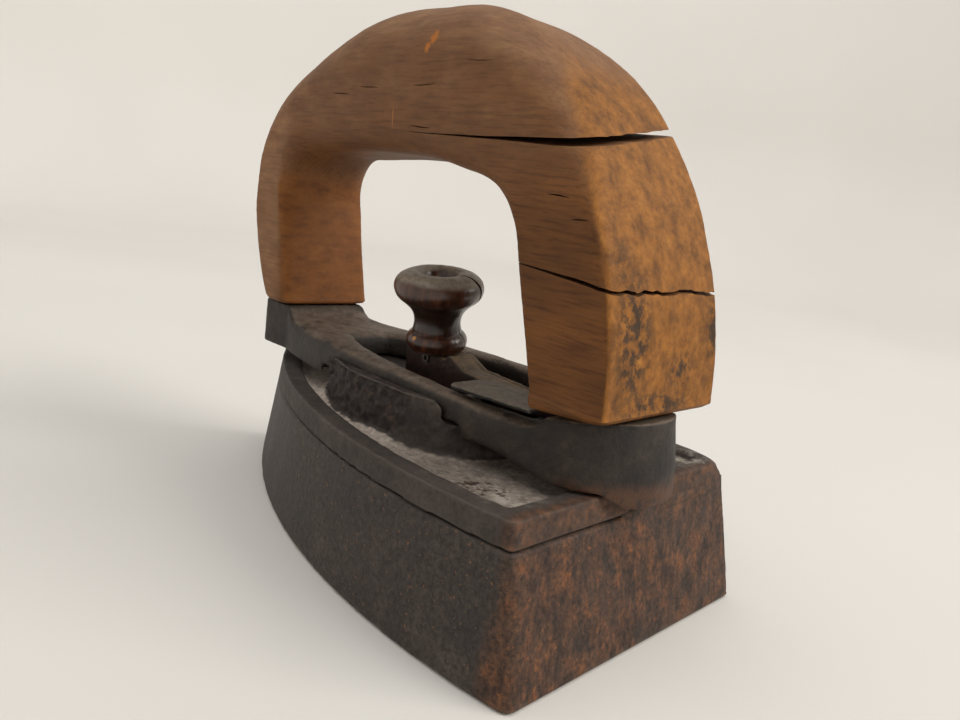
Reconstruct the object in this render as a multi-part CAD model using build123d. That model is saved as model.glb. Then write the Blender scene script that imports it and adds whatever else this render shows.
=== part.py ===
from build123d import *
import math
import os

# Detachable-handle sad iron: a heavy cast-iron base, and a wooden handle on a cast
# bridge that lifts off it. Millimetres. +X points to the nose, +Y to the left side,
# +Z up; the origin is the middle of the sole, on the surface that the iron stands on.

os.makedirs("parts", exist_ok=True)

# ---- Driving dimensions of the base ----
sole_length = 152.0
rear_half_width = 42.2
side_flare_deg = 8.0          # how far the sides still open out as they leave the rear corners
seam_height = 28.8            # joint between the sole block and the cap
base_height = 34.4
rear_lean = 7.7               # the rear face leans forward by this much over the base height
nose_lean = 8.0
side_lean = 3.0
corner_radius = 2.5
nose_radius = 3.0
wall_thickness = 9.0
cavity_floor = 10.0
sole_bevel = 0.7              # worn lower edge all round the sole
rim_width = 5.5
tray_depth = 2.0

# ---- Driving dimensions of the boss that the handle sits in ----
boss_half_width = 27.7
boss_front_x = 36.0
boss_rear_x = -40.0
boss_rear_radius = 20.0
boss_taper = 1.0
boss_height = 44.5
cheek_rear_profile = [(-60, 46), (-28.5, 46), (-28.5, 44.5), (-32.5, 41.5), (-37.5, 33), (-60, 33)]
ledge_height = 40.0           # the bridge arms stand on this ledge, between the two cheeks
channel_clearance = 0.4
socket_floor = 30.6           # bottom of the opening that the latch hook drops into
rivet_radius = 2.5
rivet_foot = 4.0
rivet_places = [(-52.0, 0.0), (47.0, 0.0)]

# ---- Driving dimensions of the bridge ----
block_front_x = 64.7
block_rear_x = 50.2
block_half_width = 13.6
arm_half_width = 22.6
cup_centre_x = -53.6
cup_radius = 20.0
arm_top = 47.2
arm_top_rear = 45.5           # the arms' tops drop toward the cup
pad_height = 50.8             # top of the front block, under the front leg
rear_pad_height = 50.8        # underside of the rear leg at its back edge
rear_pad_slope = 0.1          # and its fall per millimetre toward the front
leaf_thickness = 1.0
leaf_half_width = 14.0
block_foot = 37.0             # underside of the front block
slot_front = 26.0
slot_rear = -53.0

# ---- Driving dimensions of the latch ----
pivot_x = -26.0
pivot_z = 42.3
pivot_radius = 1.5
running_clearance = 0.05
lever_centre_y = -0.6
lever_half_width = 4.6
lever_front = 6.2
lever_head_top = 49.4         # the knob's seat is cut into this raised front end
knob_x = -1.2
knob_base = 48.8
knob_left_lean_deg = 8.5      # the worn knob leans toward the left side
knob_rear_lean_deg = 3.5      # and a little toward the rear
stem_radius = 2.0
stem_foot = -6.0              # lower end of the stem, measured from the knob's base
stem_pin_x = -2.0
stem_pin_z = 46.7
stem_pin_radius = 1.2
stem_pin_bore = 0.7
catch_x = -18.0
catch_z = 36.5
catch_radius = 2.0
catch_half_length = 16.0
pivot_half_length = 19.0

# ---- Driving dimensions of the wooden handle ----
rear_leg_half_width = 21.2
front_leg_half_width = 15.0
rear_screw_x = -61.0
front_screw_x = 57.2
rear_screw_tip = 82.0
front_screw_tip = 68.0
screw_radius = 2.5
screw_head_radius = 4.6
screw_clearance = 0.25
split_rear = 75.2             # height of the lower split at the back of the rear leg
split_front = 78.4            # and at its inner face
split_gap = 0.8
upper_split_height = 105.8    # height of the upper crack on the middle plane
upper_split_tilt_deg = 10.8   # it drops toward the left side


def save(shape, node):
    """Write one sub-part to its own STEP file."""
    export_step(shape, f"parts/{node}.step")


def block(x_range, y_range, z_range):
    """A box given by its lowest and highest corner along each axis."""
    size = [high - low for low, high in (x_range, y_range, z_range)]
    low_corner = (x_range[0], y_range[0], z_range[0])
    return Pos(*low_corner) * Box(*size, align=(Align.MIN, Align.MIN, Align.MIN))


def pin_along_y(x, z, radius, half_length):
    """A round pin or bore across the iron, centred on the middle plane."""
    return Pos(x, 0, z) * Rot(X=90) * Cylinder(radius, 2 * half_length)


def upright(x, y, radius, low, high):
    """A round pin or bore standing along Z."""
    return Pos(x, y, low) * Cylinder(radius, high - low, align=(Align.CENTER, Align.CENTER, Align.MIN))


def side_profile(points, y_low, y_high):
    """A flat outline drawn in the X-Z plane and given a thickness along Y."""
    face = make_face(Polyline(*[(x, z) for x, z in points], close=True))
    solid = extrude(Plane.XZ * face, amount=y_high - y_low)
    return Pos(0, y_high, 0) * solid


# ---- The base ----
def boat_outline(height, inset=0.0):
    """The base's plan at one height: straight back, two bulging sides and a pointed nose."""
    share = height / base_height
    rear = -sole_length / 2 + rear_lean * share + inset
    nose = sole_length / 2 - nose_lean * share - inset
    half_width = rear_half_width - side_lean * share - inset
    flare = math.radians(side_flare_deg)
    # Rounding the point shortens the nose, so the sharp outline runs on by that much.
    point_half_angle = 2 * math.atan(half_width / (nose - rear)) + flare
    nose += nose_radius * (1 / math.sin(point_half_angle) - 1)
    left = TangentArc((rear, half_width), (nose, 0), tangent=(math.cos(flare), math.sin(flare)))
    right = mirror(left, about=Plane.XZ)
    back = Line((rear, half_width), (rear, -half_width))
    plan = make_face(back + left + right)
    corners = plan.vertices().sort_by(Axis.X)
    plan = fillet(corners[:2], corner_radius)
    return fillet(plan.vertices().sort_by(Axis.X)[-1], nose_radius)


def drafted(low, high):
    """The part of the base between two heights, with its sloping walls."""
    return loft([Pos(0, 0, low) * boat_outline(low), Pos(0, 0, high) * boat_outline(high)], ruled=True)


def inner_prism(height, inset, low, high):
    """A straight-sided boat shape inside the base's outline at one height."""
    plan = offset(boat_outline(height), amount=-inset)
    return extrude(Pos(0, 0, low) * plan, amount=high - low)


def rivet_set(radius, low, high):
    """The two cap rivets, or the holes they stand in."""
    return [upright(x, y, radius, low, high) for x, y in rivet_places]


def sole_block():
    sections = [boat_outline(0, sole_bevel)]
    for height in (sole_bevel, seam_height):
        sections.append(Pos(0, 0, height) * boat_outline(height))
    body = loft(sections, ruled=True)
    body -= inner_prism(seam_height, wall_thickness, cavity_floor, seam_height + 1)
    for hole in rivet_set(rivet_radius, rivet_foot, cavity_floor + 1):
        body -= hole
    return body


def insulating_filler():
    filler = inner_prism(seam_height, wall_thickness, cavity_floor, seam_height - 0.4)
    for hole in rivet_set(rivet_radius, cavity_floor - 1, seam_height):
        filler -= hole
    return filler


def boss_outline(growth=0.0):
    """Plan of the boss: bowed sides that meet in front, and a blunt rounded rear."""
    wide = boss_half_width + growth
    front = (boss_front_x + growth, 0)
    turn_x = boss_rear_x + boss_rear_radius
    radius = boss_rear_radius + growth
    turn_y = boss_half_width - boss_rear_radius
    diagonal = radius * math.sqrt(0.5)
    rear = boss_rear_x - growth
    sides = []
    for side in (1, -1):
        middle = (15 + 0.6 * growth, side * (22.8 + 0.8 * growth))
        shoulder = (turn_x - diagonal, side * (turn_y + diagonal))
        sides.append(ThreePointArc(front, middle, (-12, side * wide)))
        sides.append(Line((-12, side * wide), (turn_x, side * wide)))
        sides.append(ThreePointArc((turn_x, side * wide), shoulder, (rear, side * turn_y)))
    sides.append(Line((rear, turn_y), (rear, -turn_y)))
    return make_face(Curve() + sides)


def bridge_outline(growth=0.0):
    """Plan of the bridge: square front block, bowed arms and round rear cup."""
    width = block_half_width + growth
    front = block_front_x + growth
    cup_edge = cup_radius + growth
    sides = []
    for side in (1, -1):
        sides.append(Line((front, 0), (front, side * width)))
        sides.append(Line((front, side * width), (block_rear_x, side * width)))
        arm_front = (block_rear_x, side * width)
        arm_middle = (0, side * (arm_half_width + growth))
        sides.append(ThreePointArc(arm_front, arm_middle, (cup_centre_x, side * cup_edge)))
    cup_rear = (cup_centre_x - cup_edge, 0)
    sides.append(ThreePointArc((cup_centre_x, cup_edge), cup_rear, (cup_centre_x, -cup_edge)))
    return make_face(Curve() + sides)


def top_cap():
    cap = drafted(seam_height, base_height)
    tray_floor = base_height - tray_depth
    cap -= inner_prism(base_height, rim_width, tray_floor, base_height + 1)
    foot = Pos(0, 0, seam_height + 1) * boss_outline()
    crown = Pos(0, 0, boss_height) * boss_outline(-boss_taper)
    cap += loft([foot, crown], ruled=True)
    behind_cheeks = side_profile(cheek_rear_profile, -31, 31)
    cap -= behind_cheeks - extrude(bridge_outline(channel_clearance), amount=60)
    cap -= extrude(Pos(0, 0, ledge_height) * bridge_outline(channel_clearance), amount=20)
    cap -= block((-36, 13), (-8, 8), (socket_floor, 60))
    cap -= catch_bar()
    for hole in rivet_set(rivet_radius, seam_height - 1, base_height):
        cap -= hole
    return cap


def cap_rivets():
    """Two studs, set in the sole and peened flush with the tray."""
    return Compound(rivet_set(rivet_radius, rivet_foot, base_height - tray_depth))


def catch_bar():
    return pin_along_y(catch_x, catch_z, catch_radius, catch_half_length)


# ---- The bridge ----
def rear_pad(x):
    """Height of the rear leg's sloping underside."""
    return rear_pad_height - (x + 71.3) * rear_pad_slope


def slot_outline():
    """Plan of the long opening between the arms, round the latch lever."""
    left = ThreePointArc((slot_front, 6), (-6, 15), (slot_rear, 11))
    right = mirror(left, about=Plane.XZ)
    front = Line((slot_front, 6), (slot_front, -6))
    rear = Line((slot_rear, 11), (slot_rear, -11))
    slot = make_face(left + right + front + rear)
    return fillet(slot.vertices(), 2.5)


def handle_bridge():
    """The casting between base and wood: front block, two arms round a slot, and rear cup."""
    profile = [
        (block_front_x + 2, block_foot),
        (block_front_x + 2, pad_height),
        (block_rear_x, pad_height),
        (46.5, arm_top + 0.6),
        (38.0, arm_top),
        (-10.0, arm_top),
        (-53.4, arm_top_rear),
        (-55.4, rear_pad(-55.4) - leaf_thickness),
        (-76.0, rear_pad(-76.0) - leaf_thickness),
        (-76.0, base_height),
        (-60.0, base_height),
        (-42.0, 37.4),
        (20.0, block_foot),
    ]
    bridge = side_profile(profile, -30, 30) & extrude(Pos(0, 0, 30) * bridge_outline(), amount=30)
    bridge -= extrude(Pos(0, 0, 30) * slot_outline(), amount=30)
    bridge -= extrude(Pos(0, 0, 30) * boss_outline(0.8), amount=ledge_height - 30)
    bridge -= latch_pivot_pin()
    for x, low in screw_seats:
        bridge -= upright(x, 0, screw_head_radius + 0.5, low - 1, low + head_recess)
        bridge -= upright(x, 0, screw_radius + screw_clearance, low, 60)
    block_edges = bridge.edges().filter_by(Axis.Z).sort_by(Axis.X)[-2:]
    return fillet(block_edges, 3.0)


def spring_leaf():
    """Flat spring clamped under the rear leg, with one finger forward along the left arm."""
    leaf_rear, bend, finger_front = -66.0, -53.2, -27.5
    finger_under = arm_top - 0.2
    profile = [
        (leaf_rear, rear_pad(leaf_rear) - leaf_thickness),
        (leaf_rear, rear_pad(leaf_rear)),
        (bend, rear_pad(bend)),
        (finger_front, finger_under + leaf_thickness),
        (finger_front, finger_under),
        (bend, rear_pad(bend) - leaf_thickness),
    ]
    leaf = side_profile(profile, -leaf_half_width, 21.0)
    leaf -= block((bend, 0), (-30, 7.0), (40, 60))
    leaf -= block((-80, bend), (leaf_half_width, 30), (40, 60))
    leaf -= upright(rear_screw_x, 0, screw_radius + screw_clearance, 40, 60)
    front_corner = leaf.edges().filter_by(Axis.Z).sort_by(Axis.X)[-2:]
    return fillet(front_corner, 3.5)


# ---- The latch ----
# The knob and its stem are drawn upright on their own base point, then leaned over.
stem_place = Pos(knob_x, 0, knob_base) * Rot(X=-knob_left_lean_deg) * Rot(Y=-knob_rear_lean_deg)


def across_lever(x, z, radius, side_gap):
    """A pin or bore through the lever, ending this far outside its two faces."""
    return Pos(0, lever_centre_y, 0) * pin_along_y(x, z, radius, lever_half_width + side_gap)


def latch_lever():
    """Rocking lever under the knob, with the hook that goes down into the socket."""
    profile = [
        (lever_front, 41.2),
        (lever_front, lever_head_top),
        (-10.4, lever_head_top),
        (-16.2, 46.6),
        (-50.0, 45.0),
        (-50.0, 43.2),
        (-32.0, 40.8),
        (3.0, 40.6),
    ]
    right_face = lever_centre_y - lever_half_width
    left_face = lever_centre_y + lever_half_width
    lever = side_profile(profile, right_face, left_face)
    hook = [
        (-29.0, 42.5),
        (-23.5, 42.5),
        (-23.5, 34.0),
        (-20.3, 34.0),
        (-20.3, 31.8),
        (-29.0, 31.8),
    ]
    lever += side_profile(hook, right_face + 0.5, left_face - 0.5)
    lever -= pin_along_y(pivot_x, pivot_z, pivot_radius + running_clearance, 30)
    lever -= stem_place * upright(0, 0, 9.0, 0.0, 5.0)
    lever -= stem_place * upright(0, 0, stem_radius, stem_foot, 3.0)
    return lever - across_lever(stem_pin_x, stem_pin_z, stem_pin_radius, 1)


def knob():
    outer = Spline(
        (6.8, 0.0),
        (8.4, 2.8),
        (6.4, 7.9),
        (9.4, 13.1),
        (12.0, 17.1),
        (10.4, 20.5),
        (7.0, 21.5),
        tangents=[(0.5, 1.0), (-1.0, 0.05)],
    )
    countersink = Polyline((7.0, 21.5), (4.1, 20.6), (3.1, 18.6), (3.1, 14.6), (stem_radius, 13.4))
    bore = Polyline((stem_radius, 13.4), (stem_radius, 0.0), (6.8, 0.0))
    half_section = make_face(Plane.XZ * (outer + countersink + bore))
    return stem_place * revolve(half_section, Axis.Z)


def knob_stem():
    """Headed rod that ties the knob down to the lever."""
    half_section = [
        (0, 16.4),
        (2.9, 16.4),
        (2.9, 14.5),
        (stem_radius, 13.4),
        (stem_radius, stem_foot),
        (0, stem_foot),
    ]
    face = make_face(Plane.XZ * Polyline(*half_section, close=True))
    stem = stem_place * revolve(face, Axis.Z)
    return stem - across_lever(stem_pin_x, stem_pin_z, stem_pin_radius, 1)


def knob_stem_pin():
    """Hollow pin across the lever, through the foot of the stem."""
    tube = across_lever(stem_pin_x, stem_pin_z, stem_pin_radius, 0.2)
    return tube - across_lever(stem_pin_x, stem_pin_z, stem_pin_bore, 1)


# ---- The wooden handle ----
def grip_body():
    """The whole half-moon handle, before its cracks."""
    outer = [
        ThreePointArc((-71.3, rear_pad(-71.3)), (-64.0, 86.8), (-46.0, 115.4)),
        ThreePointArc((-46.0, 115.4), (-24.0, 130.0), (4.0, 134.5)),
        ThreePointArc((4.0, 134.5), (34.0, 130.8), (55.0, 119.5)),
        ThreePointArc((55.0, 119.5), (68.0, 106.3), (73.4, 90.0)),
        ThreePointArc((73.4, 90.0), (70.8, 69.0), (62.5, pad_height)),
    ]
    inner = [
        Line((-53.3, rear_pad(-53.3)), (-44.0, 80.0)),
        ThreePointArc((-44.0, 80.0), (-37.5, 89.4), (-26.0, 94.0)),
        ThreePointArc((-26.0, 94.0), (8.0, 97.2), (41.0, 95.8)),
        ThreePointArc((41.0, 95.8), (52.6, 91.6), (56.6, 82.0)),
        Line((56.6, 82.0), (49.0, pad_height)),
    ]
    rear_sole = Line((-71.3, rear_pad(-71.3)), (-53.3, rear_pad(-53.3)))
    front_sole = Line((49.0, pad_height), (62.5, pad_height))
    side = make_face(Curve() + outer + inner + [rear_sole, front_sole])
    body = Pos(0, 30, 0) * extrude(Plane.XZ * side, amount=60)
    taper = make_face(
        Polyline(
            (-76, rear_leg_half_width),
            (-50, rear_leg_half_width),
            (76, front_leg_half_width),
            (76, -front_leg_half_width),
            (-50, -rear_leg_half_width),
            (-76, -rear_leg_half_width),
            close=True,
        )
    )
    return body & extrude(Pos(0, 0, 40) * taper, amount=100)


def below_split(gap):
    """Everything under the lower split, which runs right through the rear leg."""
    return side_profile(
        [(-80, 45), (-80, split_rear - gap), (-35, split_front + 0.6), (-35, 45)], -40, 40
    )


def wooden_grip(whole):
    wedge = side_profile([(-80, -1.2), (-80, 1.2), (3, 0)], -40, 40)
    upper_split = Pos(0, 0, upper_split_height) * Rot(X=-upper_split_tilt_deg) * wedge
    grip = whole - below_split(0.0) - upper_split
    grip -= upright(rear_screw_x, 0, screw_radius, 40, rear_screw_tip + 0.5)
    return grip - upright(front_screw_x, 0, screw_radius, 40, front_screw_tip + 0.5)


def grip_rear_block(whole):
    return (whole & below_split(split_gap)) - upright(rear_screw_x, 0, screw_radius, 40, 100)


# Where each screw stands, and the underside of the casting above its head.
screw_seats = [(rear_screw_x, base_height), (front_screw_x, block_foot)]
head_underside = 3.0
head_recess = 4.5


def grip_screw(x, low, tip):
    """Wood screw standing up through the bridge into one leg, its head in a recess below."""
    head = upright(x, 0, screw_head_radius, low + 0.5, low + head_underside)
    shank = upright(x, 0, screw_radius, low + head_underside, tip - 4.0)
    point = Pos(x, 0, tip - 4.0) * Cone(screw_radius, 0.4, 4.0, align=(Align.CENTER, Align.CENTER, Align.MIN))
    drive_slot = block((x - 6, x + 6), (-0.6, 0.6), (low, low + 1.7))
    return head + shank + point - drive_slot


def screw_washers():
    washers = []
    for x, low in screw_seats:
        ring = upright(x, 0, screw_head_radius + 0.3, low + head_underside, low + head_recess)
        washers.append(ring - upright(x, 0, screw_radius + 0.1, low, low + 6))
    return Compound(washers)


def latch_pivot_pin():
    return pin_along_y(pivot_x, pivot_z, pivot_radius, pivot_half_length)


whole_grip = grip_body()
save(sole_block(), "sole_block")
save(insulating_filler(), "insulating_filler")
save(top_cap(), "top_cap")
save(cap_rivets(), "cap_rivets")
save(catch_bar(), "catch_bar")
save(handle_bridge(), "handle_bridge")
save(spring_leaf(), "spring_leaf")
save(latch_pivot_pin(), "latch_pivot_pin")
save(latch_lever(), "latch_lever")
save(knob(), "knob")
save(knob_stem(), "knob_stem")
save(knob_stem_pin(), "knob_stem_pin")
save(wooden_grip(whole_grip), "wooden_grip")
save(grip_rear_block(whole_grip), "grip_rear_block")
save(grip_screw(rear_screw_x, base_height, rear_screw_tip), "rear_grip_screw")
save(grip_screw(front_screw_x, block_foot, front_screw_tip), "front_grip_screw")
save(screw_washers(), "screw_washers")
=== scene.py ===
"""Looks of the flat iron with a detachable handle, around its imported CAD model.

Metres, +X to the nose, +Y to the left side, +Z up. Lengths written in millimetres
are multiplied by MM.
"""
import math

import bmesh
import bpy
import numpy as np
from mathutils import Matrix, Vector


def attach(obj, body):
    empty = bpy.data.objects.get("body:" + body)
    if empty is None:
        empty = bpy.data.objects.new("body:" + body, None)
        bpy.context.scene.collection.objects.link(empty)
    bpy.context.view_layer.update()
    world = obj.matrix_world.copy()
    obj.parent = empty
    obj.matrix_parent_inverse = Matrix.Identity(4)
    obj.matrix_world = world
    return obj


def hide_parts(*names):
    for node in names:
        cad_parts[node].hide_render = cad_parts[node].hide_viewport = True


MM = 0.001

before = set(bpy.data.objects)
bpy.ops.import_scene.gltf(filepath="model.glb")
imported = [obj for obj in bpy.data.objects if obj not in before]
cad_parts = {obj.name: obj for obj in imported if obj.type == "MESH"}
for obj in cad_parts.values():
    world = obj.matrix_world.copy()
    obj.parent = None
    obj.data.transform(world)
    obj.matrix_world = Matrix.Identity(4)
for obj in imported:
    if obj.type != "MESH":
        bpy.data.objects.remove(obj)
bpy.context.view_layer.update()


# ---------------------------------------------------------------- repeatable noise
def cell_value(cells, seed):
    """A fixed random number from 0 to 1 for each whole-number cell."""
    x, y, z = cells[:, 0], cells[:, 1], cells[:, 2]
    mixed = (x * 374761393 + y * 668265263 + z * 1440662683 + seed * 1274126177) & 0x7FFFFFFF
    mixed = ((mixed ^ (mixed >> 13)) * 1274126177) & 0x7FFFFFFF
    return ((mixed ^ (mixed >> 16)) & 0xFFFFFF) / 0xFFFFFF


def noise(points, size, seed=0, octaves=1):
    """Smooth random field from -1 to 1. size is the width of its bumps, one number or three."""
    total = np.zeros(len(points))
    reach = 0.0
    for octave in range(octaves):
        place = points / (np.array(size, float) / 2**octave) + 17.3
        cell = np.floor(place).astype(np.int64)
        part = place - cell
        part = part * part * (3 - 2 * part)
        value = np.zeros(len(points))
        for corner in np.ndindex(2, 2, 2):
            share = np.ones(len(points))
            for axis, far in enumerate(corner):
                share *= part[:, axis] if far else 1 - part[:, axis]
            value += share * cell_value(cell + np.array(corner), seed + octave)
        weight = 0.5**octave
        total += weight * (2 * value - 1)
        reach += weight
    return total / reach


def pits(points, size, seed=0):
    """0 in the middle of each pit, rising to 1 between the pits."""
    place = points / size
    cell = np.floor(place).astype(np.int64)
    nearest = np.full(len(points), 9.0)
    for offset in np.ndindex(3, 3, 3):
        near = cell + np.array(offset) - 1
        centre = near + np.stack([cell_value(near, seed + k) for k in range(3)], axis=1)
        nearest = np.minimum(nearest, np.linalg.norm(place - centre, axis=1))
    return np.minimum(nearest, 1.0)


def ease(value, low, high):
    """0 below low, 1 above high, smooth between them. high may be the smaller."""
    share = np.clip((value - low) / (high - low), 0, 1)
    return share * share * (3 - 2 * share)


# ---------------------------------------------------------------- mesh tools
def new_piece(name, points, faces):
    mesh = bpy.data.meshes.new(name)
    mesh.from_pydata([tuple(p) for p in points], [], faces)
    piece = bpy.data.objects.new(name, mesh)
    bpy.context.scene.collection.objects.link(piece)
    return piece


def points_of(piece):
    flat = np.zeros(len(piece.data.vertices) * 3)
    piece.data.vertices.foreach_get("co", flat)
    return flat.reshape(-1, 3)


def normals_of(piece):
    flat = np.zeros(len(piece.data.vertices) * 3)
    piece.data.vertices.foreach_get("normal", flat)
    return flat.reshape(-1, 3)


def place_points(piece, points):
    piece.data.vertices.foreach_set("co", points.ravel())
    piece.data.update()


def settle(piece):
    """Turn the piece's modifiers into real mesh."""
    graph = bpy.context.evaluated_depsgraph_get()
    mesh = bpy.data.meshes.new_from_object(piece.evaluated_get(graph))
    piece.modifiers.clear()
    piece.data = mesh


def shade(piece, angle_deg=180):
    """Smooth shading, with edges sharper than the angle kept crisp."""
    piece.data.shade_smooth()
    if angle_deg < 180:
        piece.data.set_sharp_from_angle(angle=math.radians(angle_deg))


def casting(node, name, voxel):
    """A fine, even mesh of one CAD node, whose edges can then be worn and pitted."""
    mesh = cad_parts[node].data.copy()
    work = bmesh.new()
    work.from_mesh(mesh)
    bmesh.ops.remove_doubles(work, verts=work.verts, dist=0.002 * MM)
    work.to_mesh(mesh)
    work.free()
    mesh.materials.clear()
    piece = bpy.data.objects.new(name, mesh)
    bpy.context.scene.collection.objects.link(piece)
    remesh = piece.modifiers.new("even", "REMESH")
    remesh.mode = "VOXEL"
    remesh.voxel_size = voxel
    settle(piece)
    return piece


def relax(piece, steps, weight=None):
    """Round the mesh off. weight says how much at each vertex."""
    points = points_of(piece)
    edges = np.zeros(len(piece.data.edges) * 2, np.int32)
    piece.data.edges.foreach_get("vertices", edges)
    first, second = edges.reshape(-1, 2).T
    count = np.bincount(edges, minlength=len(points))[:, None]
    pull = 0.5 if weight is None else 0.5 * weight[:, None]
    for _ in range(steps):
        total = np.zeros_like(points)
        for axis in range(3):
            total[:, axis] += np.bincount(first, points[second, axis], len(points))
            total[:, axis] += np.bincount(second, points[first, axis], len(points))
        points += pull * (total / count - points)
    place_points(piece, points)


def sink(piece, depth):
    """Push each vertex into the surface by its own depth."""
    place_points(piece, points_of(piece) - normals_of(piece) * depth[:, None])


def face_outward(piece):
    """Turn every face of a closed mesh outward."""
    work = bmesh.new()
    work.from_mesh(piece.data)
    bmesh.ops.recalc_face_normals(work, faces=work.faces)
    work.to_mesh(piece.data)
    work.free()


def carve(piece, cutter, operation="DIFFERENCE"):
    """Cut one mesh with another and drop the cutter."""
    cut = piece.modifiers.new("cut", "BOOLEAN")
    cut.operation = operation
    cut.solver = "MANIFOLD"
    cut.object = cutter
    settle(piece)
    bpy.data.objects.remove(cutter)


def slab(x_range, y_range, under, over, step):
    """A closed block between two height functions of x and y."""
    xs = np.arange(x_range[0], x_range[1] + step, step)
    ys = np.arange(y_range[0], y_range[1] + step, step)
    grid_x, grid_y = np.meshgrid(xs, ys, indexing="ij")
    flat_x, flat_y = grid_x.ravel(), grid_y.ravel()
    low = np.stack([flat_x, flat_y, under(flat_x, flat_y)], axis=1)
    high = np.stack([flat_x, flat_y, over(flat_x, flat_y)], axis=1)
    rows, columns = len(xs), len(ys)
    count = rows * columns

    def at(i, j, upper):
        return i * columns + j + (count if upper else 0)

    faces = []
    for i in range(rows - 1):
        for j in range(columns - 1):
            faces.append((at(i, j, 0), at(i, j + 1, 0), at(i + 1, j + 1, 0), at(i + 1, j, 0)))
            faces.append((at(i, j, 1), at(i + 1, j, 1), at(i + 1, j + 1, 1), at(i, j + 1, 1)))
    for i in range(rows - 1):
        last = columns - 1
        faces.append((at(i, 0, 0), at(i + 1, 0, 0), at(i + 1, 0, 1), at(i, 0, 1)))
        faces.append((at(i + 1, last, 0), at(i, last, 0), at(i, last, 1), at(i + 1, last, 1)))
    for j in range(columns - 1):
        last = rows - 1
        faces.append((at(0, j + 1, 0), at(0, j, 0), at(0, j, 1), at(0, j + 1, 1)))
        faces.append((at(last, j, 0), at(last, j + 1, 0), at(last, j + 1, 1), at(last, j, 1)))
    return new_piece("cutter", np.concatenate([low, high]), faces)


def dress(piece, body, slot, material, *nodes):
    """Give a finished piece its material and its body, and hide the CAD nodes that it stands for."""
    piece.data.materials.clear()
    piece.data.materials.append(material)
    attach(piece, body)
    if nodes:
        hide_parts(*nodes)


# ---------------------------------------------------------------- materials
def tint(red, green, blue):
    """A display colour from 0 to 255 as the linear colour that shaders take."""
    shares = [channel / 255 for channel in (red, green, blue)]
    linear = [s / 12.92 if s <= 0.04045 else ((s + 0.055) / 1.055) ** 2.4 for s in shares]
    return (*linear, 1.0)


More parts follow.
